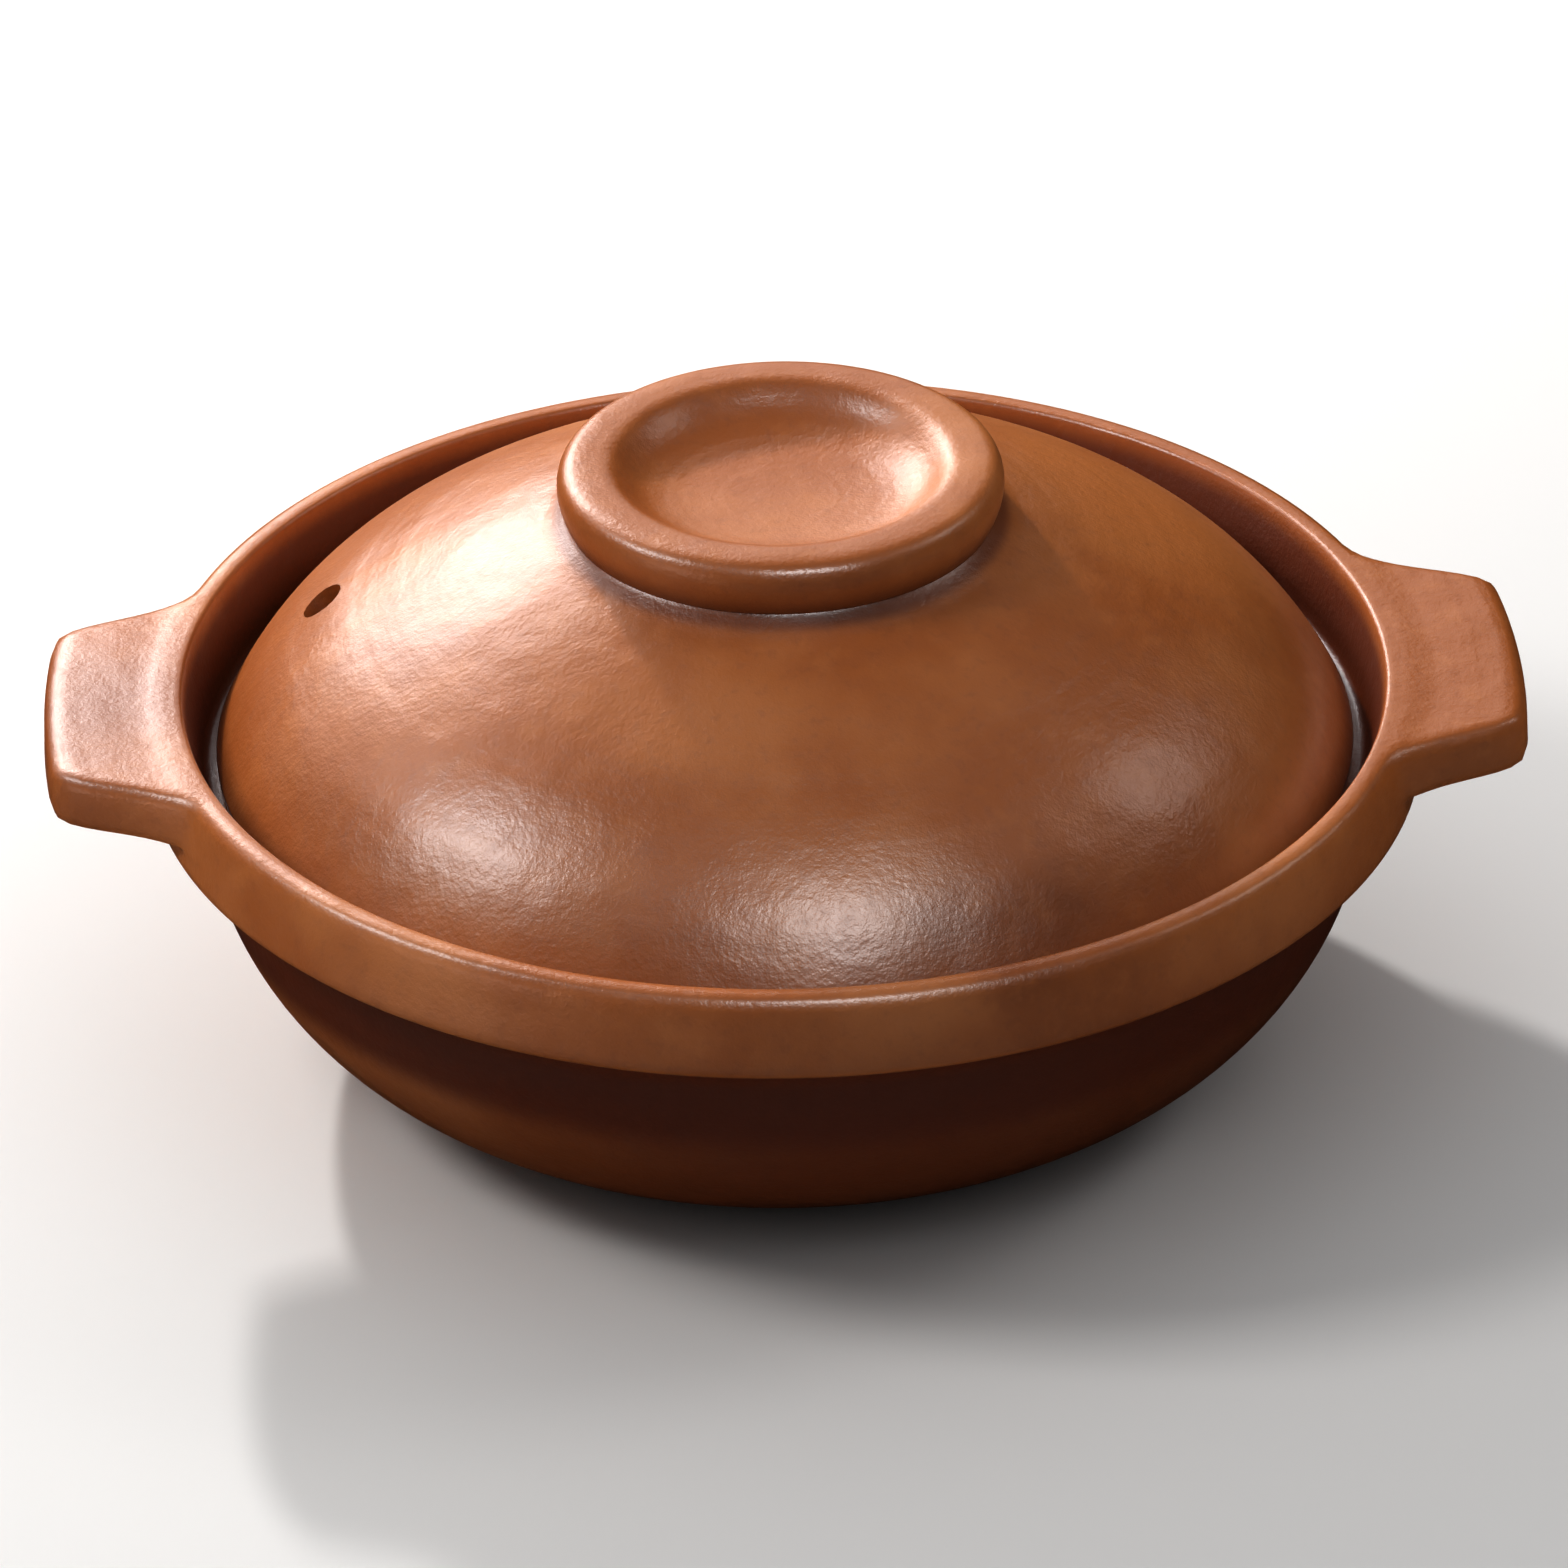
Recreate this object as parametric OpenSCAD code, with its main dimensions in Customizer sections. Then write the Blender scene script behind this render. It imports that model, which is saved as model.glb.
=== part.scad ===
// Shallow clay casserole with a stepped collar and two slab handles, and its domed lid.
// The origin is the centre of the base, on the surface that the pot stands on.
// +Z is up, and the handles point along X.

/* [Bowl] */
// Height of the pot from its base to the top of its rim
pot_h = 68.5; // [66:0.5:80]
// Thickness of the bowl's wall
bowl_wall = 8; // [6:0.5:10]
// Thickness of the bowl's floor
floor_t = 8; // [6:0.5:12]
// Radius of the bend that joins the base to the wall
bowl_bend = 51; // [40:0.5:53]

/* [Well for the lid] */
// Radius of the well that the lid stands in, at its ledge
well_r = 102.4; // [94:0.2:112]
// Depth of the ledge below the top of the rim
well_depth = 14.5; // [11:0.5:18]
// How much wider the well is at the rim than at the ledge
well_flare = 3.4; // [1:0.2:6]
// Width of the ledge, from the well's side to the bowl's inner wall
ledge_w = 7.1; // [6:0.1:10]

/* [Collar] */
// Thickness of the rim at its top
rim_t = 4.2; // [3.6:0.1:7]
// Height of the collar's band below the top of the rim
collar_h = 13.9; // [11:0.1:18]
// How much wider the collar is at its lower edge than at its top
collar_flare = 2.3; // [0:0.1:4]
// Fall of the collar's underside towards the bowl, in degrees
collar_under = 30; // [15:1:45]
// Radius of the hollow where the underside joins the bowl
collar_hollow = 6; // [2:0.5:9]

/* [Handles] */
// How far each handle reaches out from the collar
handle_reach = 20; // [14:0.5:30]
// Width of a handle at its outer end, before its corners are rounded
handle_w = 53; // [36:1:66]
// How far the middle of a handle's end stands out past its corners
handle_bow = 1.5; // [0.2:0.1:4]
// Angle at which each side of a handle widens towards the collar, in degrees
handle_spread = 19; // [0:1:30]
// Thickness of a handle
handle_t = 9.5; // [7:0.5:12]
// Depth of a handle's top face below the top of the rim
handle_drop = 0.4; // [0.2:0.1:2]
// Corner radius of a handle, seen from above
handle_corner = 9; // [4:0.5:14]
// Radius of the sweep from a handle's side into the collar, seen from above
handle_sweep = 24; // [6:1:30]
// Radius of the rounding along a handle's upper and lower edges
handle_edge = 3.2; // [1.5:0.1:3.4]

/* [Lid] */
// Clearance between the lid's edge and the well, all round
lid_gap = 2.3; // [1:0.1:3]
// Thickness of the lid's wall
lid_wall = 6; // [5:0.5:8]
// Radius of the lid's rounded edge
lid_edge = 2.3; // [1.5:0.1:3]
// Radius of the curve of the lid's shoulder
shoulder_arc = 61.3; // [54:0.1:70]
// Slope of the dome at its edge, in degrees
edge_slope = 64; // [56:1:70]
// Slope at which the shoulder turns into the crown, in degrees
crown_slope = 30; // [24:1:36]
// Radius of the curve of the lid's crown
crown_arc = 185; // [140:5:260]
// Diameter of the steam hole
steam_d = 9; // [5:0.5:12]
// Distance of the steam hole's middle from the edge of the lid, seen from above
steam_in = 18.5; // [13:0.5:40]
// Angle of the steam hole round the lid, in degrees
steam_turn = 171; // [0:1:359]

/* [Knob] */
// Height of the knob above the dome
knob_h = 10.9; // [9:0.1:18]
// Outer radius of the knob's lip
knob_r = 39; // [34:0.2:46]
// How far the knob's neck stands in from its lip
neck_inset = 2; // [0.5:0.1:6]
// Radius of the hollow where the neck joins the dome
neck_hollow = 3; // [1.5:0.1:5]
// Depth of the lip from its top to where it turns in to the neck
lip_depth = 6.4; // [4:0.2:8]
// Width of the lip, from its outside to the top of the dish
lip_w = 6.6; // [5:0.2:10]
// Depth of the dish in the knob
dish_depth = 7.2; // [4:0.2:9]
// Radius of the flat floor of the dish
dish_r = 24.4; // [16:0.2:27]

/* [Hidden] */
$fn = 96;

// Longest piece of a curve, in degrees and in length
curve_deg = 15;
curve_len = 5;

// Roundings of the pot's edges
rim_outer_edge = 3;
rim_inner_edge = 1.1;
well_corner = 2.5;
ledge_edge = 1;
collar_edge = 1.8;

// Roundings of the knob's edges
lip_outer_edge = 4.3;
lip_lower_edge = 6;
lip_inner_edge = 5.5;
dish_corner = 8;

// Rounding of the lid's inner lower edge, and the stretch of slope kept for it
lid_inner_edge = 0.8;
lid_inner_slope = 1.5;

// Radius and steepest slope of the hollow under the knob
ceiling_arc = 60;
ceiling_slope = 17;

// Radius of the bends on both sides of the flat middle of a handle's end
handle_bend = 60;

// Angle that a handle's root takes up on the collar past its sweep, and how deep it runs in
root_deg = 14;
root_depth = 3;

glazed_clay = [0.62, 0.34, 0.19];

// Radii and levels of the pot
bowl_in_r = well_r - ledge_w;
bowl_r = bowl_in_r + bowl_wall;
rim_in_r = well_r + well_flare;
collar_r = rim_in_r + rim_t;
collar_low_r = collar_r + collar_flare;
ledge_z = pot_h - well_depth;
collar_z = pot_h - collar_h;

// Centres of the bowl's bend and of the hollow where the collar's underside meets the bowl
bend_c = [bowl_r - bowl_bend, bowl_bend];
under_in = -polar(collar_under);
under_out = polar(collar_under - 90);
under_start = [collar_low_r, collar_z] + collar_hollow * under_out;
at_the_side = under_start + (bowl_r + collar_hollow - under_start.x) / under_in.x * under_in;
straight_side = at_the_side.y > bowl_bend;
hollow_c = straight_side ? at_the_side : first_at(under_start, under_in, bend_c, bowl_bend + collar_hollow);
bend_end = straight_side ? 0 : direction(hollow_c - bend_c);

// Centres of the lid's curves, above the ledge
lid_r = well_r - lid_gap;
lid_edge_c = [lid_r - lid_edge, lid_edge];
shoulder_c = lid_edge_c - (shoulder_arc - lid_edge) * fall(edge_slope);
crown_c = shoulder_c - (crown_arc - shoulder_arc) * fall(crown_slope);
crown_in = crown_arc - lid_wall;
shoulder_in = shoulder_arc - lid_wall;
inner_foot_slope = acos(-shoulder_c.y / shoulder_in);
ceiling_c = crown_c + (crown_in - ceiling_arc) * fall(ceiling_slope);

// Curve of the dome that the steam hole is in, and its slope there
steam_r = lid_r - steam_in;
steam_on_crown = steam_r < shoulder_c.x + shoulder_arc * sin(crown_slope);
steam_c = steam_on_crown ? crown_c : shoulder_c;
steam_arc = steam_on_crown ? crown_arc : shoulder_arc;
steam_slope = asin((steam_r - steam_c.x) / steam_arc);

// Where the knob's neck meets the dome
neck_r = knob_r - neck_inset;
dome_start = asin((neck_r + 1.6 * neck_hollow - crown_c.x) / crown_arc);
dome_start_p = crown_c + crown_arc * fall(dome_start);
neck_foot = [neck_r, dome_start_p.y + (dome_start_p.x - neck_r) * tan(dome_start)];
lid_h = neck_foot.y + knob_h;

function unit(v) = v / norm(v);
function polar(a) = [cos(a), sin(a)];
function direction(v) = atan2(v.y, v.x);

// Outward direction of a dome where its slope is s
function fall(s) = [sin(s), cos(s)];

// A point with the radius that its corner is rounded to
function corner(p, r = 0) = [p.x, p.y, r];

// First point of the line from p along the unit vector d at distance r from c
function first_at(p, d, c, r) =
    let (w = p - c, b = w * d)
    p + (-b - sqrt(b * b - w * w + r * r)) * d;

// Points along an arc round c from angle a to angle b
function arc(c, r, a, b) =
    let (turn = abs(b - a), n = ceil(max(2, turn / curve_deg, turn * PI / 180 * r / curve_len)))
    [for (i = [0:n]) corner(c + r * polar(a + (b - a) * i / n))];

// The same arc with its angles given as slopes
function slope_arc(c, r, a, b) = arc(c, r, 90 - a, 90 - b);

// Half of the angle between the two sides of the corner p
function half_angle(a, p, b) = acos(unit(a - p) * unit(b - p)) / 2;

// Arc that rounds the corner p between its neighbours a and b
function round_corner(a, p, b, r) =
    let (half = half_angle(a, p, b),
         c = p + unit(unit(a - p) + unit(b - p)) * r / sin(half),
         from = direction(p + unit(a - p) * r / tan(half) - c),
         turn = (180 - 2 * half) * sign(cross(p - a, b - p)))
    arc(c, r, from, from + turn);

// Closed outline with each corner rounded, to a smaller radius where its sides are too short
function rounded(path) =
    let (n = len(path),
         at = [for (p = path) [p.x, p.y]],
         before = [for (i = [0:n - 1]) (i + n - 1) % n],
         after = [for (i = [0:n - 1]) (i + 1) % n],
         wanted = [for (i = [0:n - 1])
             path[i].z == 0 ? 0 : path[i].z / tan(half_angle(at[before[i]], at[i], at[after[i]]))],
         share = [for (i = [0:n - 1])
             min(1, 0.98 * norm(at[i] - at[after[i]]) / max(wanted[i] + wanted[after[i]], 0.001))])
    [for (i = [0:n - 1])
        each path[i].z == 0 ? [at[i]]
            : [for (q = round_corner(at[before[i]], at[i], at[after[i]],
                                     path[i].z * min(share[before[i]], share[i]))) [q.x, q.y]]];

// Outward direction of a closed outline at each of its points
function outward(path) =
    let (n = len(path))
    [for (i = [0:n - 1])
        let (a = path[(i + n - 1) % n], b = path[(i + 1) % n])
        unit([b.y - a.y, a.x - b.x])];

// Half section of the pot as if it were solid
pot_section = rounded(concat(
    [corner([0, 0])],
    arc(bend_c, bowl_bend, -90, bend_end),
    arc(hollow_c, collar_hollow, bend_end + 180, direction(-under_out)),
    [corner([collar_low_r, collar_z], collar_edge),
     corner([collar_r, pot_h], rim_outer_edge),
     corner([0, pot_h])]));

// Half section of the room inside the pot, open at the top
room_section = rounded([
    corner([0, floor_t]),
    corner([bowl_in_r, floor_t], bowl_bend - bowl_wall),
    corner([bowl_in_r, ledge_z], ledge_edge),
    corner([well_r, ledge_z], well_corner),
    corner([rim_in_r, pot_h], rim_inner_edge),
    corner([rim_in_r + rim_t / 2, pot_h]),
    corner([rim_in_r + rim_t / 2, pot_h + 1]),
    corner([0, pot_h + 1])]);

// Half section of the lid, with its edge at level 0
lid_section = rounded(concat(
    [corner([0, lid_h - dish_depth]),
     corner([dish_r, lid_h - dish_depth], dish_corner),
     corner([knob_r - lip_w, lid_h], lip_inner_edge),
     corner([knob_r, lid_h], lip_outer_edge),
     corner([knob_r, lid_h - lip_depth], lip_lower_edge),
     corner(neck_foot, neck_hollow)],
    slope_arc(crown_c, crown_arc, dome_start, crown_slope),
    slope_arc(shoulder_c, shoulder_arc, crown_slope, edge_slope),
    slope_arc(lid_edge_c, lid_edge, edge_slope, 180),
    [corner([shoulder_c.x + shoulder_in * sin(inner_foot_slope), 0], lid_inner_edge)],
    slope_arc(shoulder_c, shoulder_in, inner_foot_slope - lid_inner_slope, crown_slope),
    slope_arc(crown_c, crown_in, crown_slope, ceiling_slope),
    slope_arc(ceiling_c, ceiling_arc, ceiling_slope, 0),
    [corner([0, ceiling_c.y + ceiling_arc])]));

// Outline of a handle seen from above, with its root inside the pot's wall
handle_middle = [collar_r + handle_reach, handle_w / 6];
handle_tip = [collar_r + handle_reach - handle_bow, handle_w / 2];
handle_root = first_at(handle_tip, unit([-1, tan(handle_spread)]), [0, 0], collar_r);
root_end = (collar_r - root_depth) * polar(direction(handle_root) + root_deg);
handle_side = [corner(root_end), corner(handle_root, handle_sweep),
               corner(handle_tip, handle_corner), corner(handle_middle, handle_bend)];
handle_outline = rounded(concat(
    [for (p = handle_side) [p.x, -p.y, p.z]],
    [for (i = [len(handle_side) - 1:-1:0]) handle_side[i]]));

// Slab of thickness t over an outline, with its upper and lower edges rounded.
// The rounded sides run a little past both faces, which a flat block then cuts level.
module rounded_slab(outline, t, edge) {
    n = len(outline);
    out = outward(outline);
    bend = [for (a = [0:22.5:90]) edge * [1 - cos(a), sin(a)]];
    side = concat(bend, [2 * bend[4] - bend[3]]);
    levels = concat([for (i = [5:-1:0]) [side[i].x, edge - side[i].y]],
                    [for (p = side) [p.x, t - edge + p.y]]);
    rings = len(levels);
    points = [for (level = levels) for (i = [0:n - 1]) concat(outline[i] - level[0] * out[i], level[1])];
    sides = [for (k = [0:rings - 2]) for (i = [0:n - 1])
        let (a = k * n + i, b = k * n + (i + 1) % n)
        each [[a, a + n, b + n], [a, b + n, b]]];
    bottom = [for (i = [0:n - 1]) i];
    top = [for (i = [n - 1:-1:0]) (rings - 1) * n + i];
    reach = max([for (p = outline) norm(p)]);
    intersection() {
        polyhedron(points, concat(sides, [bottom, top]));
        translate([0, -reach, 0]) cube([2 * reach, 2 * reach, t]);
    }
}

module handle() {
    translate([0, 0, pot_h - handle_drop - handle_t]) rounded_slab(handle_outline, handle_t, handle_edge);
}

module pot() {
    color(glazed_clay) difference() {
        union() {
            rotate_extrude() polygon(pot_section);
            for (side = [0, 180]) rotate([0, 0, side]) handle();
        }
        rotate_extrude() polygon(room_section);
    }
}

module steam_hole() {
    rotate([0, 0, steam_turn])
        translate([steam_r, 0, steam_c.y + steam_arc * cos(steam_slope)])
        rotate([0, steam_slope, 0])
        cylinder(h = 4 * lid_wall, d = steam_d, center = true);
}

module lid() {
    color(glazed_clay) translate([0, 0, ledge_z]) difference() {
        rotate_extrude() polygon(lid_section);
        steam_hole();
    }
}

pot();
lid();
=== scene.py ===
"""A shallow glazed clay casserole with a domed lid, in a plain studio."""

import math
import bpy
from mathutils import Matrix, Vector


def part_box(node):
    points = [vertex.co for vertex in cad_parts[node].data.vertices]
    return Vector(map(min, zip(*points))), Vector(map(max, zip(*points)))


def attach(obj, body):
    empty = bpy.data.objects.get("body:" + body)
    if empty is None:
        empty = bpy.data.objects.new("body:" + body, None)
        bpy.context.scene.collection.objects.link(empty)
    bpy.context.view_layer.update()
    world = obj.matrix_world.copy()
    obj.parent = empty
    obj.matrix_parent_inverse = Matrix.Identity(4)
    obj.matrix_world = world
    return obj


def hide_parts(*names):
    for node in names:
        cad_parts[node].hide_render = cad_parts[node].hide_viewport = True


bl_info = {
    "name": "Clay casserole",
    "version": (1, 0, 0),
    "blender": (4, 5, 0),
    "location": "3D View > Sidebar > Casserole",
    "description": "A glazed clay casserole with a domed lid, and a plain studio around it",
    "category": "Object",
}

import bmesh
import bpy
from bpy.props import FloatProperty, FloatVectorProperty, PointerProperty
from mathutils import Matrix, Vector

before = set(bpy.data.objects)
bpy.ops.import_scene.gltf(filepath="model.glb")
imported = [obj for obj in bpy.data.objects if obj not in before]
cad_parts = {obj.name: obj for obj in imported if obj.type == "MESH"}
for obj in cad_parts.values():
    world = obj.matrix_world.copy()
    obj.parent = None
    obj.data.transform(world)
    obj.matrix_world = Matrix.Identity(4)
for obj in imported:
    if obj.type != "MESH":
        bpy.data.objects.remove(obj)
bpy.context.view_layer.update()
POT_LOW, POT_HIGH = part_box("pot")
LID_LOW, LID_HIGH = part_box("lid")

MM = 0.001

# Columns of faces round the axis, and columns on each side of the middle that a handle grows from
COLUMNS = 128
HANDLE_COLUMNS = 7

# Slopes of the lid in degrees: where the shoulder's curve ends at the lid's edge, and where it meets the
# crown's. The points of the crown end just short of that, and the middle of the ceiling is a tighter curve.
EDGE_SLOPE = 64
CROWN_SLOPE = 30
CROWN_END = 28.6
CEILING_SLOPE = 17
CEILING_BEND = 60 * MM

# Slope of the dome at the steam hole, the slope from one ring of faces there to the next, and the faces
# that the hole is opened in
STEAM_SLOPE = 36.94
RING_SLOPE = 3.47
STEAM_FACES = 8

# Points of the knob's dish, as shares of its radius and of its depth below the knob's top
DISH = ((0, 1), (0.38, 0.99), (0.62, 0.95), (0.81, 0.86), (0.95, 0.71), (1.05, 0.51), (1.11, 0.32))

# Points of the knob's rolled lip, as shares of its width in from the knob's radius and of its depth below
# the knob's top
LIP = ((1.03, 0.2), (0.92, 0.07), (0.75, 0.01), (0.53, 0), (0.3, 0.02), (0.14, 0.1), (0.05, 0.28),
       (0, 0.56), (0.01, 0.85), (0.06, 1.15), (0.13, 1.43), (0.21, 1.68))

# Points of the fillet under the knob, in millimetres from where its neck would meet the dome
FILLET = ((-0.5, 2.3), (0.3, 1.1), (1.7, 0.2))


def size(name, description, default):
    """A length that a user can change."""
    return FloatProperty(name=name, description=description, default=default, unit="LENGTH", precision=4)


def tint(name, description, default):
    """A colour that a user can change."""
    return FloatVectorProperty(name=name, description=description, default=default, subtype="COLOR",
                               min=0, max=1)


def angle(name, description, default):
    """An angle that a user can change, its default given in degrees."""
    return FloatProperty(name=name, description=description, default=math.radians(default), subtype="ANGLE")


class PotSizes(bpy.types.PropertyGroup):
    """Sizes of the pot."""

    height: size("Height", "From the base to the top of the rim", POT_HIGH.z)
    wall: size("Wall", "Thickness of the bowl's wall", 0.008)
    floor: size("Floor", "Thickness of the bowl's floor", 0.008)
    bend: size("Bend", "Radius of the bend from the base to the wall", 0.051)
    well_radius: size("Well radius", "Radius of the lid's well at its ledge", 0.1024)
    well_depth: size("Well depth", "Depth of the ledge below the rim", 0.0145)
    well_flare: size("Well flare", "How much wider the well is at the rim", 0.0034)
    ledge: size("Ledge", "Width of the ledge that the lid rests on", 0.0071)
    rim: size("Rim", "Thickness of the rim at its top", 0.0042)
    collar: size("Collar", "Height of the collar's band", 0.0139)
    collar_flare: size("Collar flare", "How much wider the collar is at its lower edge", 0.0023)
    handle_end: size("Handle end", "Distance of a handle's end from the axis", POT_HIGH.x)
    handle_low: size("Handle underside", "Height of a handle's underside above the base", 0.0586)
    handle_drop: size("Handle drop", "Depth of a handle's top below the rim", 0.0004)


class LidSizes(bpy.types.PropertyGroup):
    """Sizes of the lid."""

    top: size("Top", "Height of the knob's top above the table", LID_HIGH.z)
    foot: size("Foot", "Height of the ledge that the lid stands on", LID_LOW.z)
    radius: size("Radius", "Radius of the lid's edge", LID_HIGH.x)
    wall: size("Wall", "Thickness of the dome", 0.006)
    edge: size("Edge", "Radius of the lid's rounded edge", 0.0023)
    shoulder: size("Shoulder", "Radius of the curve of the dome near its edge", 0.0613)
    crown: size("Crown", "Radius of the curve of the dome near its middle", 0.185)
    knob_radius: size("Knob radius", "Outer radius of the knob's lip", 0.039)
    knob_neck: size("Knob neck", "Radius of the knob where it meets the dome", 0.037)
    lip_width: size("Lip width", "Width of the knob's lip", 0.0104)
    lip_depth: size("Lip depth", "Depth of the knob's lip", 0.0064)
    dish_depth: size("Dish depth", "Depth of the dish in the knob", 0.0072)
    dish_radius: size("Dish radius", "Radius at which the dish turns up into the lip", 0.0244)
    steam_hole: size("Steam hole", "Diameter of the steam hole", 0.0084)
    steam_turn: angle("Steam hole turn", "Angle of the steam hole round the lid", 171)


class ClayLook(bpy.types.PropertyGroup):
    """Colours and finish of the glazed clay."""

    body: tint("Clay", "Main colour of the clay", (0.45, 0.138, 0.026))
    pale: tint("Pale clay", "Colour of the paler, sandier patches", (0.56, 0.20, 0.050))
    # The dark clay colour also serves as the painted shade on the lower bowl, in the well and under the knob
    dark: tint("Dark clay", "Colour of the smoky, redder patches", (0.15, 0.028, 0.006))
    roughness: FloatProperty(name="Roughness", description="How soft the glaze's shine is", default=0.37,
                             min=0, max=1, subtype="FACTOR")
    shine: FloatProperty(name="Shine", description="How strongly the glaze mirrors, where 0.5 is plain glass",
                         default=1.0, min=0, max=1, subtype="FACTOR")
    peel: size("Orange peel", "Depth of the fine dimples in the glaze", 0.0001)
    wave: size("Unevenness", "Depth of the slow unevenness left by the hand", 0.0006)
    rings: size("Rings", "Depth of the faint rings left by the wheel", 0.00016)


class StudioLook(bpy.types.PropertyGroup):
    """Camera and light."""

    camera_place: FloatVectorProperty(name="Camera", description="Where the camera stands", subtype="XYZ",
                                      default=(-0.0719, -1.6467, 1.0136), unit="LENGTH")
    camera_target: FloatVectorProperty(name="Target", description="The point that the camera looks at",
                                       subtype="XYZ", default=(-0.0003, 0.0, 0.0459), unit="LENGTH")
    camera_roll: angle("Roll", "Turn of the camera about its line of sight", -0.987)
    lens: FloatProperty(name="Lens", description="Focal length of the camera in millimetres", default=248.4)
    floor: tint("Floor", "Colour of the floor", (0.82, 0.82, 0.82))
    ambient: FloatProperty(name="Ambient", description="Strength of the light from all round", default=0.6)
    exposure: FloatProperty(name="Exposure", description="Brightness of the picture, in stops", default=0.0)
    contrast: FloatProperty(name="Contrast", description="Below 1 the dark tones are deeper", default=0.8)


def down(slope):
    """Outward direction of a dome where its slope is this many degrees."""
    return Vector((math.sin(math.radians(slope)), math.cos(math.radians(slope))))


def along(centre, radius, start, end, steps):
    """Points of an arc of a section, its ends given as slopes in degrees."""
    return [centre + radius * down(start + (end - start) * i / steps) for i in range(steps + 1)]


def between(a, b, *shares):
    """Points on the straight line from a to b, at these shares of its length."""
    return [a.lerp(b, share) for share in shares]


def pot_section(s):
    """Half section of the pot, from the middle of its base round to the middle of its floor."""
    bowl = s.well_radius - s.ledge + s.wall
    bend = Vector((bowl - s.bend, s.bend))
    ledge = s.height - s.well_depth
    rim_in = Vector((s.well_radius + s.well_flare, s.height))
    rim_out = Vector((rim_in.x + s.rim, s.height))
    low_edge = Vector((rim_out.x + s.collar_flare, s.height - s.collar))
    hollow = Vector((bowl, s.bend - 1.6 * MM))
    well_foot = Vector((s.well_radius, ledge))
    shelf = Vector((s.well_radius - s.ledge, ledge))
    share = (s.handle_low - low_edge.y) / s.collar
    base = Vector((0, 0))
    floor = Vector((0, s.floor))
    return (
        between(base, Vector((bend.x, 0)), 0, 0.35, 0.7, 0.92)
        + along(bend, s.bend, 180, 98.5, 15)
        + [hollow]
        + between(hollow, low_edge, 0.5, 0.76, 1)
        + between(low_edge, rim_out, share / 2, share, (1 + share) / 2, 1)
        + between(rim_out, rim_in, 0.7, 1)
        + between(rim_in, well_foot, 0.1, 0.34, 0.6, 0.83, 1)
        + between(well_foot, shelf, 0.35, 0.7, 0.86, 1)
        + between(shelf, Vector((shelf.x, bend.y)), 0.35, 1)
        + along(bend, s.bend - s.wall, 98, 180, 13)
        + between(Vector((bend.x, s.floor)), floor, 0.25, 0.6, 0.8, 1)
    )


def lid_section(s):
    """Half section of the lid, from the middle of its dish round to the middle of its ceiling.

    It comes with the centre of the shoulder's curve, which the steam hole's axis goes through.
    """
    edge = Vector((s.radius - s.edge, s.foot + s.edge))
    shoulder = edge - (s.shoulder - s.edge) * down(EDGE_SLOPE)
    crown = shoulder - (s.crown - s.shoulder) * down(CROWN_SLOPE)
    in_crown = s.crown - s.wall
    in_shoulder = s.shoulder - s.wall
    ceiling = crown + (in_crown - CEILING_BEND) * down(CEILING_SLOPE)
    ceiling_top = ceiling.y + CEILING_BEND
    neck_slope = math.degrees(math.asin((s.knob_neck - crown.x) / s.crown))
    neck = crown + s.crown * down(neck_slope)
    in_foot = Vector((shoulder.x + math.sqrt(in_shoulder ** 2 - (s.foot - shoulder.y) ** 2), s.foot))
    in_slope = math.degrees(math.atan2(in_foot.x - shoulder.x, in_foot.y - shoulder.y))
    high = STEAM_SLOPE - 2 * RING_SLOPE
    points = (
        [Vector((s.dish_radius * across, s.top - s.dish_depth * deep)) for across, deep in DISH]
        + [Vector((s.knob_radius - s.lip_width * inward, s.top - s.lip_depth * deep)) for inward, deep in LIP]
        + [neck + Vector(away) * MM for away in FILLET]
        + along(crown, s.crown, neck_slope + 1.3, CROWN_END, 9)
        + along(shoulder, s.shoulder, high, STEAM_SLOPE + 8 * RING_SLOPE, 10)
        + along(edge, s.edge, EDGE_SLOPE + 8, 180, 4)
        + between(Vector((edge.x, s.foot)), in_foot, 0.5, 1)
        + along(shoulder, in_shoulder, in_slope - 1.5, STEAM_SLOPE + 3 * RING_SLOPE, 5)
        + along(shoulder, in_shoulder, STEAM_SLOPE + 2 * RING_SLOPE, high, 4)
        + along(crown, in_crown, CROWN_END, CEILING_SLOPE + 0.5, 7)
        + along(ceiling, CEILING_BEND, CEILING_SLOPE - 4, 0, 3)
        + between(Vector((ceiling.x, ceiling_top)), Vector((0, ceiling_top)), 0.5, 1)
    )
    return points, shoulder


def in_plane(point, turn=0.0):
    """Place of a point of a half section that is turned about the axis."""
    return Vector((point.x * math.cos(turn), point.x * math.sin(turn), point.y))


def turn_on_wheel(name, section, turn=0.0):
    """Draws a half section point by point and spins it into a closed shell, left in edit mode."""
    bpy.ops.object.select_all(action="DESELECT")
    bpy.ops.mesh.primitive_plane_add(size=MM)
    piece = bpy.context.active_object
    piece.name = piece.data.name = name
    bpy.ops.object.mode_set(mode="EDIT")
    bpy.ops.mesh.select_mode(type="VERT")
    bpy.ops.mesh.merge(type="CENTER")
    bpy.ops.transform.translate(value=in_plane(section[0], turn))
    for here, there in zip(section, section[1:]):
        step = in_plane(there, turn) - in_plane(here, turn)
        bpy.ops.mesh.extrude_region_move(TRANSFORM_OT_translate={"value": step})
    bpy.ops.mesh.select_all(action="SELECT")
    bpy.ops.mesh.spin(steps=COLUMNS, angle=math.tau, center=(0, 0, 0), axis=(0, 0, 1))
    bpy.ops.mesh.select_all(action="SELECT")
    bpy.ops.mesh.remove_doubles(threshold=0.02 * MM)
    bpy.ops.mesh.normals_make_consistent(inside=False)
    return piece


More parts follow.
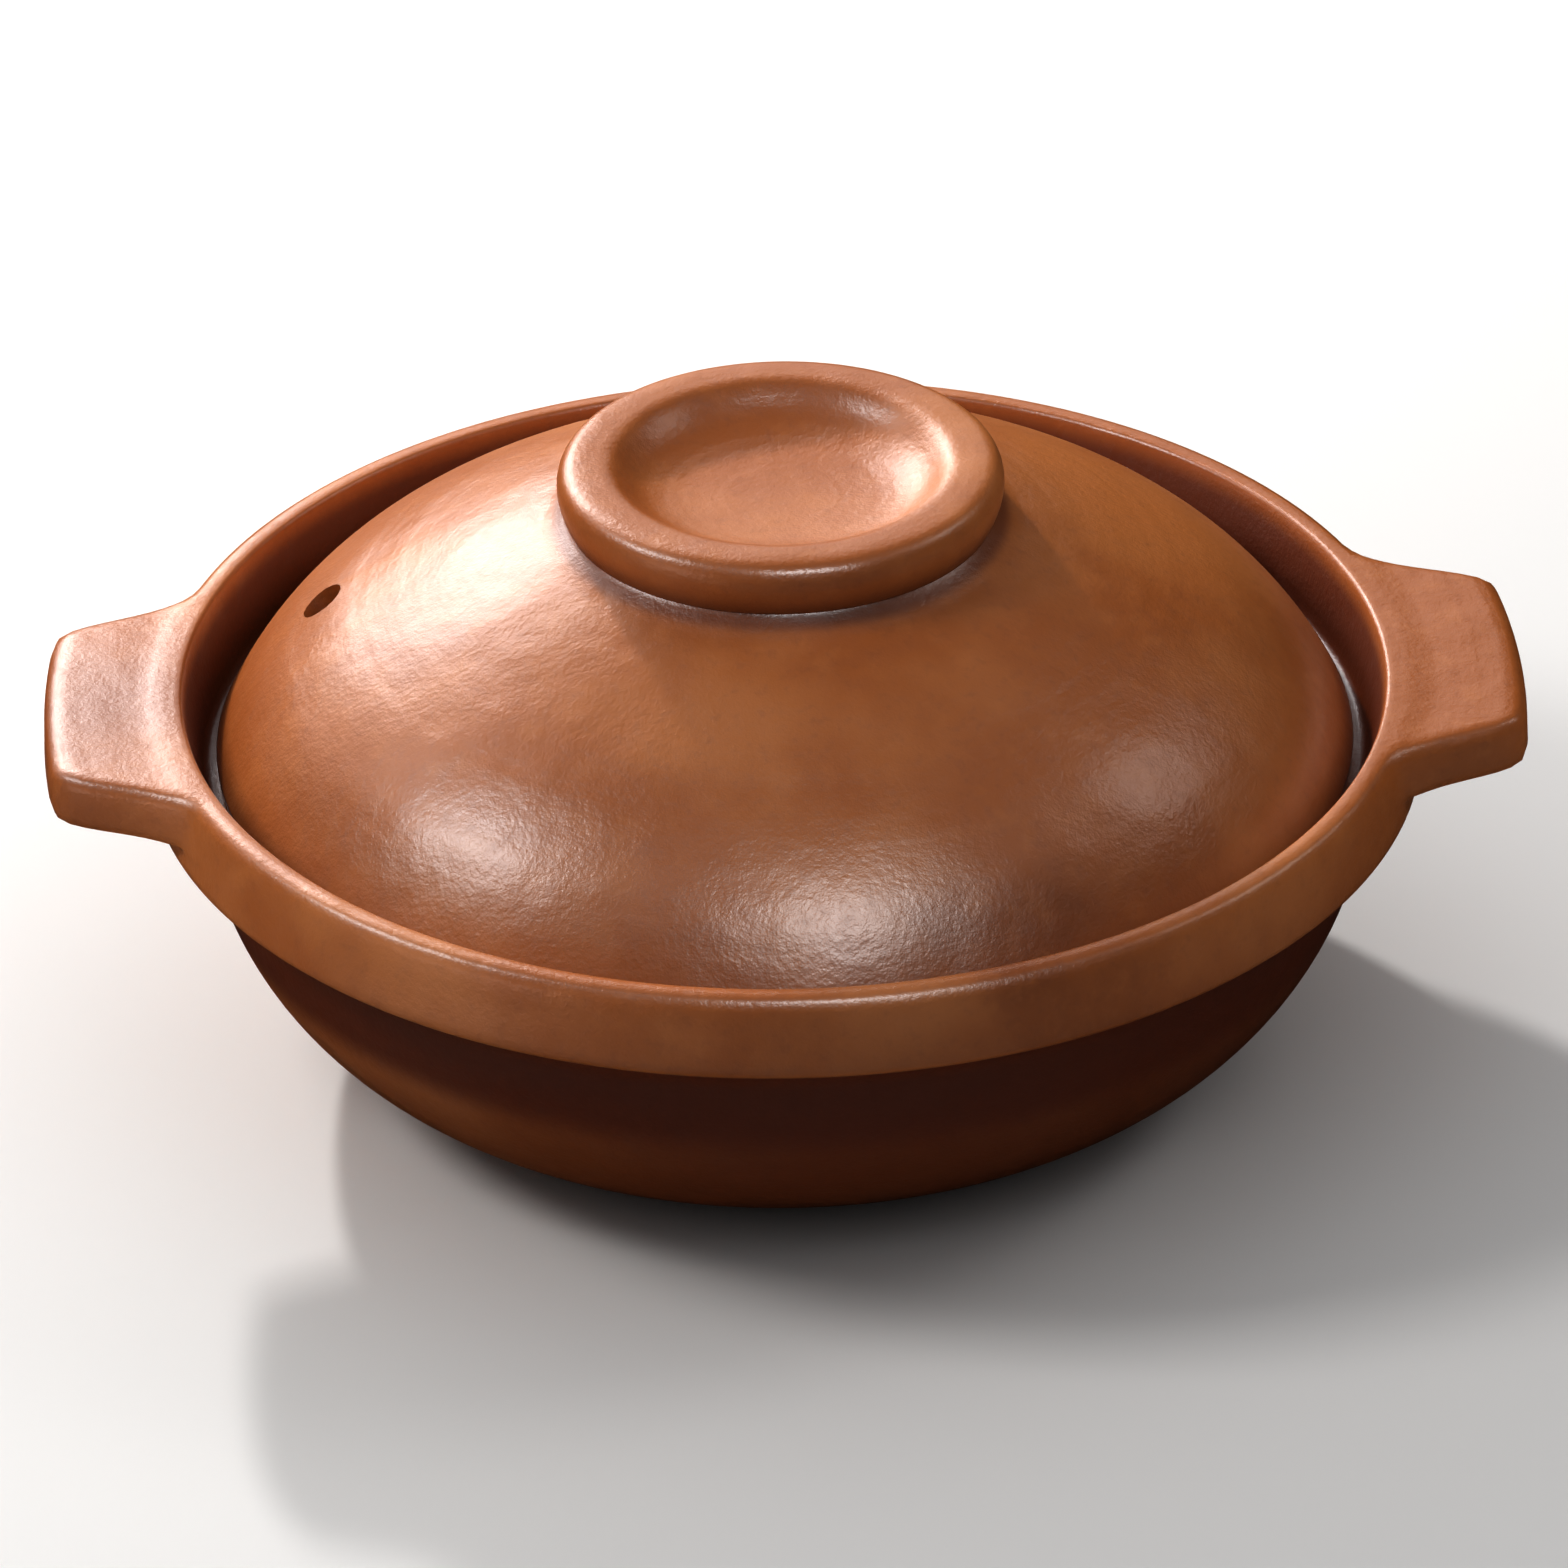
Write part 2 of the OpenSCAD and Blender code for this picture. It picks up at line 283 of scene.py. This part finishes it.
def pick(piece, kind, test):
    """Selects only the faces or vertices whose middle passes the test, and says how many they are."""
    bpy.ops.mesh.select_mode(type=kind)
    bpy.ops.mesh.select_all(action="DESELECT")
    mesh = bmesh.from_edit_mesh(piece.data)
    found = 0
    for part in mesh.faces if kind == "FACE" else mesh.verts:
        middle = part.calc_center_median() if kind == "FACE" else part.co
        if test(middle):
            part.select_set(True)
            found += 1
    mesh.select_flush_mode()
    bmesh.update_edit_mesh(piece.data)
    return found


def smooth_out(piece):
    """Finishes a shell with one subdivision and smooth shading, out of edit mode."""
    bpy.ops.object.mode_set(mode="OBJECT")
    rounding = piece.modifiers.new("Rounding", "SUBSURF")
    rounding.levels = rounding.render_levels = 1
    rounding.use_limit_surface = False
    bpy.ops.object.modifier_apply(modifier=rounding.name)
    bpy.ops.object.shade_smooth()


def pull_handle(piece, s, side):
    """Pulls a slab handle out of the collar, a stretch at a time."""
    reach = math.radians((HANDLE_COLUMNS + 0.1) * 360 / COLUMNS)
    inner = s.well_radius + s.well_flare + s.rim - 1.5 * MM

    def on_collar(p):
        """True on the part of the collar's outside that this handle grows from."""
        across = math.hypot(p.x, p.y)
        return (s.handle_low < p.z < s.height - 0.5 * MM and across > inner and side * p.x > 0
                and abs(math.atan2(p.y, side * p.x)) < reach)

    if pick(piece, "FACE", on_collar) != 4 * HANDLE_COLUMNS:
        raise RuntimeError("The handle's faces on the collar were not found")
    # Distances of the middle and the corners from the axis, and half width, all in millimetres, first on
    # the collar and then at the end of each stretch
    shape = ((110.85, 104.4, 37.35), (113.6, 107.4, 35.4), (117.2, 111.6, 32.9), (121.4, 116.8, 30.8),
             (125.8, 122.5, 28.7), (s.handle_end / MM, 128.4, 25.6))
    for (near, near_corner, near_half), (far, far_corner, far_half) in zip(shape, shape[1:]):
        bpy.ops.mesh.extrude_region_move(TRANSFORM_OT_translate={"value": (side * (far - near) * MM, 0, 0)})
        bpy.ops.transform.resize(value=((far - far_corner) / (near - near_corner), far_half / near_half, 1),
                                 center_override=(side * far * MM, 0, 0))
        if near == shape[0][0]:
            level = (s.height - s.handle_drop - s.handle_low) / (s.height - s.handle_low)
            bpy.ops.transform.resize(value=(1, 1, level), center_override=(0, 0, s.handle_low))
    # The corners of the end are drawn back a little, to round them
    pick(piece, "VERT", lambda p: side * p.x > s.handle_end - 3 * MM and abs(p.y) > 24.5 * MM)
    bpy.ops.transform.translate(value=(-side * 0.9 * MM, 0, 0))


def pierce(piece, s, shoulder):
    """Opens the steam hole through the dome and bridges its two mouths."""
    direction = in_plane(down(STEAM_SLOPE), s.steam_turn)
    start = in_plane(shoulder, s.steam_turn)

    def off_axis(p):
        """Distance from the hole's axis, or far off where the point is on the lid's other side."""
        away = p - start
        along_axis = away.dot(direction)
        return (away - along_axis * direction).length if along_axis > 0 else 1

    if pick(piece, "FACE", lambda p: off_axis(p) < 4 * MM) != STEAM_FACES:
        raise RuntimeError("The steam hole's faces were not found")
    bpy.ops.mesh.delete(type="FACE")
    middle = s.shoulder - s.wall / 2
    for outer in (True, False):
        pick(piece, "VERT", lambda p: off_axis(p) < 6 * MM and ((p - start).dot(direction) > middle) == outer)
        bpy.ops.transform.tosphere(value=1)
        mesh = bmesh.from_edit_mesh(piece.data)
        ring = [v.co for v in mesh.verts if v.select]
        centre = sum(ring, Vector()) / len(ring)
        # The subdivision draws such a ring in to 0.926 of its radius
        grow = s.steam_hole / 2 / 0.926 / (ring[0] - centre).length
        bpy.ops.transform.resize(value=(grow, grow, grow), center_override=centre)
    bpy.ops.mesh.select_all(action="DESELECT")
    bpy.ops.mesh.select_mode(type="EDGE")
    bpy.ops.mesh.select_non_manifold()
    bpy.ops.mesh.mark_sharp()
    bpy.ops.transform.edge_crease(value=1)
    bpy.ops.mesh.bridge_edge_loops(number_cuts=4)
    bpy.ops.mesh.select_all(action="SELECT")
    bpy.ops.mesh.normals_make_consistent(inside=False)


class Value:
    """A number socket that can be used in sums."""

    def __init__(self, nodes, socket):
        self.nodes = nodes
        self.socket = socket

    def sum(self, operation, first, second):
        """A Math node on two numbers."""
        node = self.nodes.add("ShaderNodeMath", {"operation": operation}, {0: first, 1: second})
        return Value(self.nodes, node.outputs[0])

    def __add__(self, other):
        return self.sum("ADD", self, other)

    def __sub__(self, other):
        return self.sum("SUBTRACT", self, other)

    def __rsub__(self, other):
        return self.sum("SUBTRACT", other, self)

    def __mul__(self, other):
        return self.sum("MULTIPLY", self, other)

    def __pow__(self, other):
        return self.sum("POWER", self, other)

    __radd__ = __add__
    __rmul__ = __mul__


class Nodes:
    """Adds nodes to the tree of a material or of the world."""

    def __init__(self, tree):
        self.tree = tree

    def add(self, kind, settings=None, inputs=None):
        """A node of this type, with its settings made first and its sockets set or linked after."""
        node = self.tree.nodes.new(kind)
        for name, value in (settings or {}).items():
            setattr(node, name, value)
        for key, value in (inputs or {}).items():
            self.put(node.inputs[key], value)
        return node

    def put(self, socket, value):
        """Sets a socket, or links it."""
        if isinstance(value, Value):
            value = value.socket
        if isinstance(value, bpy.types.NodeSocket):
            self.tree.links.new(value, socket)
        else:
            socket.default_value = value

    def value(self, node, output=0):
        """An output of a node, as a number for sums."""
        return Value(self, node.outputs[output])

    def noise(self, vector, scale, detail=2.0, roughness=0.5):
        """Cloudy noise from 0 to 1."""
        node = self.add("ShaderNodeTexNoise", {"noise_dimensions": "3D"},
                        {"Vector": vector, "Scale": scale, "Detail": detail, "Roughness": roughness})
        return self.value(node)

    def fade(self, value, low, high):
        """0 below low, 1 above high, and smooth between. With low above high it falls instead."""
        node = self.add("ShaderNodeMapRange", {"interpolation_type": "SMOOTHSTEP"},
                        {"Value": value, "From Min": low, "From Max": high})
        return self.value(node)

    def near(self, place, point, radius):
        """1 at a point, falling to 0 at this distance from it."""
        node = self.add("ShaderNodeVectorMath", {"operation": "DISTANCE"}, {0: place, 1: point})
        return self.fade(self.value(node, "Value"), radius, 0)

    def mix(self, factor, first, second):
        """One colour over another."""
        node = self.add("ShaderNodeMix", {"data_type": "RGBA"}, {"Factor": factor, 6: first, 7: second})
        return node.outputs[2]


def new_material(name):
    """A new material, with its nodes and its shader's sockets."""
    material = bpy.data.materials.new(name)
    material.use_nodes = True
    return material, Nodes(material.node_tree), material.node_tree.nodes["Principled BSDF"].inputs


def glazed_clay(look):
    """Satin-glazed brown clay: mottled colour, painted shade on the lower bowl, in the well and under the
    knob, dimpled shine and faint rings from the wheel.
    """
    material, nodes, shader = new_material("clay_glaze")
    body, pale, dark = ((*colour, 1) for colour in (look.body, look.pale, look.dark))
    place = nodes.add("ShaderNodeTexCoord").outputs["Object"]
    split = nodes.add("ShaderNodeSeparateXYZ", inputs={0: place})
    x, y, z = (nodes.value(split, i) for i in range(3))
    across = (x * x + y * y) ** 0.5
    wheel = nodes.add("ShaderNodeCombineXYZ", inputs={0: across * 260, 1: z * 60, 2: x * 3}).outputs[0]
    rings = nodes.noise(wheel, 1.0, 1.5)

    # Paler patches, with a placed pale spot on the right of the dome's top, then smoky patches and a fine
    # mottle
    clouds = nodes.noise(place, 22, 3, 0.55)
    pale_spot = nodes.near(place, (0.064, 0.022, 0.09), 0.05)
    colour = nodes.mix(nodes.fade(clouds + pale_spot * 0.4, 0.45, 0.72), body, pale)
    smoke = nodes.noise(place, 13, 4, 0.6)
    colour = nodes.mix(nodes.fade(smoke, 0.54, 0.78) * 0.55, colour, dark)
    mottle = nodes.noise(place, 170, 3, 0.65)
    colour = nodes.mix(nodes.fade(mottle, 0.48, 0.75) * 0.4, colour, pale)

    # Painted shade on the lower bowl, deepening towards the base; the left side gets less of it, a painted
    # stand-in for the sheen there
    low = nodes.fade(z, 0.066, 0.038) * (nodes.fade(x, -0.10, 0.0) * 0.5 + 0.35)
    colour = nodes.mix(low, colour, dark)
    # Painted shade in the well and under the knob's lip, where shade falls, and a darker patch on the left
    # handle
    well = nodes.fade(across, 0.109, 0.107) * nodes.fade(across, 0.0985, 0.1015)
    well = well * nodes.fade(z, 0.068, 0.064)
    neck = nodes.fade(across, 0.0345, 0.0365) * nodes.fade(across, 0.041, 0.0385)
    neck = neck * nodes.fade(z, 0.108, 0.099)
    handle = nodes.near(place, (-0.12, 0, 0.068), 0.036)
    colour = nodes.mix(well * 0.95 + neck * 0.75 + handle * 0.5, colour, dark)
    specks = nodes.noise(place, 420, 2, 0.6)
    colour = nodes.mix(nodes.fade(specks, 0.5, 0.8) * 0.14, colour, dark)
    nodes.put(shader["Base Color"], colour)

    nodes.put(shader["Roughness"], look.roughness + (clouds - 0.5) * 0.12 + (specks - 0.5) * 0.1)
    shader["Specular IOR Level"].default_value = look.shine

    dimples = nodes.noise(place, 800, 2, 0.7)
    slow = nodes.noise(place, 55, 2, 0.5)
    height = dimples * look.peel + slow * look.wave + rings * look.rings
    bump = nodes.add("ShaderNodeBump", inputs={"Height": height, "Distance": 1.0, "Strength": 1.0})
    nodes.put(shader["Normal"], bump.outputs[0])
    return material


def clay_material(context):
    """The one clay that both pieces share."""
    return bpy.data.materials.get("clay_glaze") or glazed_clay(context.scene.clay_look)


def hand_over(piece, node, material):
    """Gives a finished piece its material and its place in the frame."""
    piece.data.materials.clear()
    piece.data.materials.append(material)
    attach(piece, "root")
    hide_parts(node)


class CASSEROLE_OT_pot(bpy.types.Operator):
    """Make the pot, with its collar, its well for the lid and its two handles"""

    bl_idname = "casserole.pot"
    bl_label = "Pot"

    def execute(self, context):
        sizes = context.scene.pot_sizes
        piece = turn_on_wheel("clay_pot", pot_section(sizes))
        for side in (1, -1):
            pull_handle(piece, sizes, side)
        smooth_out(piece)
        hand_over(piece, "pot", clay_material(context))
        return {"FINISHED"}


class CASSEROLE_OT_lid(bpy.types.Operator):
    """Make the domed lid, with its dished knob and its steam hole"""

    bl_idname = "casserole.lid"
    bl_label = "Lid"

    def execute(self, context):
        sizes = context.scene.lid_sizes
        section, shoulder = lid_section(sizes)
        piece = turn_on_wheel("clay_lid", section, sizes.steam_turn)
        pierce(piece, sizes, shoulder)
        smooth_out(piece)
        hand_over(piece, "lid", clay_material(context))
        return {"FINISHED"}


# Each lamp's name, place, width, height, power in watts and colour, whether it lights the clay, and
# whether the glaze mirrors it
LAMPS = (
    ("key", (-0.40, 0.98, 0.56), 0.06, 0.06, 11.5, (1.0, 0.97, 0.94), True, False),
    ("glint", (-0.40, 0.98, 0.56), 0.12, 0.12, 0.6, (0.97, 0.98, 1.0), True, True),
    ("fill", (-0.80, -0.07, 0.80), 0.30, 0.30, 4.8, (1.0, 0.97, 0.94), True, False),
    ("window", (-0.41, 0.86, 0.58), 0.54, 0.56, 7.4, (0.96, 0.985, 1.0), False, True),
    ("wall", (-0.42, 0.98, 0.64), 1.80, 0.75, 5.5, (0.96, 0.98, 1.0), False, True),
    ("left", (-0.80, -0.07, 0.80), 0.28, 0.24, 6.4, (0.95, 0.975, 1.0), False, True),
    ("front", (0.14, -0.73, 0.96), 0.34, 0.22, 7.0, (0.95, 0.975, 1.0), False, True),
    ("right", (0.87, 0.17, 0.80), 0.35, 0.35, 1.6, (1.0, 0.97, 0.95), True, True),
    ("low left", (-0.95, -0.62, 0.16), 0.50, 0.30, 1.0, (1.0, 0.97, 0.95), False, True),
)
LAMP_TARGET = (0, 0, 0.07)


def aim(piece, target, roll=0.0):
    """Points a lamp or camera at a place."""
    look = (Vector(target) - piece.location).to_track_quat("-Z", "Y").to_matrix()
    piece.matrix_world = (Matrix.Translation(piece.location) @ look.to_4x4() @ Matrix.Rotation(roll, 4, "Z"))


def softbox(name, place, width, height, power, colour, lights, mirrored):
    """A soft rectangular lamp that shines at the pot."""
    bpy.ops.object.light_add(type="AREA", location=place)
    lamp = bpy.context.active_object
    lamp.name = lamp.data.name = name
    lamp.data.shape = "RECTANGLE"
    lamp.data.size, lamp.data.size_y = width, height
    lamp.data.energy = power
    lamp.data.color = colour
    lamp.visible_diffuse, lamp.visible_glossy = lights, mirrored
    aim(lamp, LAMP_TARGET)


def soft_sky(scene, strength):
    """Pale light from above that falls off to the horizon, and that the glaze doesn't mirror."""
    world = scene.world or bpy.data.worlds.new("World")
    scene.world = world
    world.use_nodes = True
    world.cycles_visibility.glossy = False
    sky = Nodes(world.node_tree)
    toward = sky.add("ShaderNodeTexCoord").outputs["Generated"]
    height = sky.value(sky.add("ShaderNodeSeparateXYZ", inputs={0: toward}), 2)
    colour = sky.mix(sky.fade(height, 0.1, 0.9), (0.05, 0.05, 0.05, 1), (1, 1, 1, 1))
    backdrop = world.node_tree.nodes["Background"].inputs
    sky.put(backdrop["Color"], colour)
    backdrop["Strength"].default_value = strength


class CASSEROLE_OT_studio(bpy.types.Operator):
    """Set up the floor, the soft lamps and the camera"""

    bl_idname = "casserole.studio"
    bl_label = "Studio"

    def execute(self, context):
        look = context.scene.studio_look
        bpy.ops.object.select_all(action="DESELECT")
        bpy.ops.mesh.primitive_plane_add(size=12)
        floor = bpy.context.active_object
        floor.name = floor.data.name = "floor"
        material, _, shader = new_material("pale_floor")
        shader["Base Color"].default_value = (*look.floor, 1)
        shader["Roughness"].default_value = 0.9
        floor.data.materials.append(material)
        floor.visible_glossy = False

        for lamp in LAMPS:
            softbox(*lamp)
        soft_sky(context.scene, look.ambient)

        bpy.ops.object.camera_add(location=look.camera_place)
        camera = bpy.context.active_object
        camera.data.lens = look.lens
        camera.data.sensor_width = 36
        aim(camera, look.camera_target, look.camera_roll)
        context.scene.camera = camera
        picture = context.scene.view_settings
        picture.view_transform = "Standard"
        picture.exposure = look.exposure
        picture.gamma = look.contrast
        return {"FINISHED"}


class CASSEROLE_PT_panel(bpy.types.Panel):
    """Lists the pieces of the casserole and their sizes"""

    bl_idname = "CASSEROLE_PT_panel"
    bl_label = "Clay casserole"
    bl_space_type = "VIEW_3D"
    bl_region_type = "UI"
    bl_category = "Casserole"

    def draw(self, context):
        scene = context.scene
        for heading, group, maker in (("Pot", scene.pot_sizes, CASSEROLE_OT_pot),
                                      ("Lid", scene.lid_sizes, CASSEROLE_OT_lid),
                                      ("Clay", scene.clay_look, None),
                                      ("Studio", scene.studio_look, CASSEROLE_OT_studio)):
            box = self.layout.box()
            box.label(text=heading)
            for name in group.__annotations__:
                box.prop(group, name)
            if maker:
                box.operator(maker.bl_idname)


GROUPS = {"pot_sizes": PotSizes, "lid_sizes": LidSizes, "clay_look": ClayLook, "studio_look": StudioLook}
PARTS = (CASSEROLE_OT_pot, CASSEROLE_OT_lid, CASSEROLE_OT_studio, CASSEROLE_PT_panel)


def register():
    for name, group in GROUPS.items():
        bpy.utils.register_class(group)
        setattr(bpy.types.Scene, name, PointerProperty(type=group))
    for part in PARTS:
        bpy.utils.register_class(part)


def unregister():
    for part in reversed(PARTS):
        bpy.utils.unregister_class(part)
    for name, group in GROUPS.items():
        delattr(bpy.types.Scene, name)
        bpy.utils.unregister_class(group)


def main():
    register()
    bpy.ops.casserole.pot()
    bpy.ops.casserole.lid()
    bpy.ops.casserole.studio()


if __name__ == "__main__":
    main()
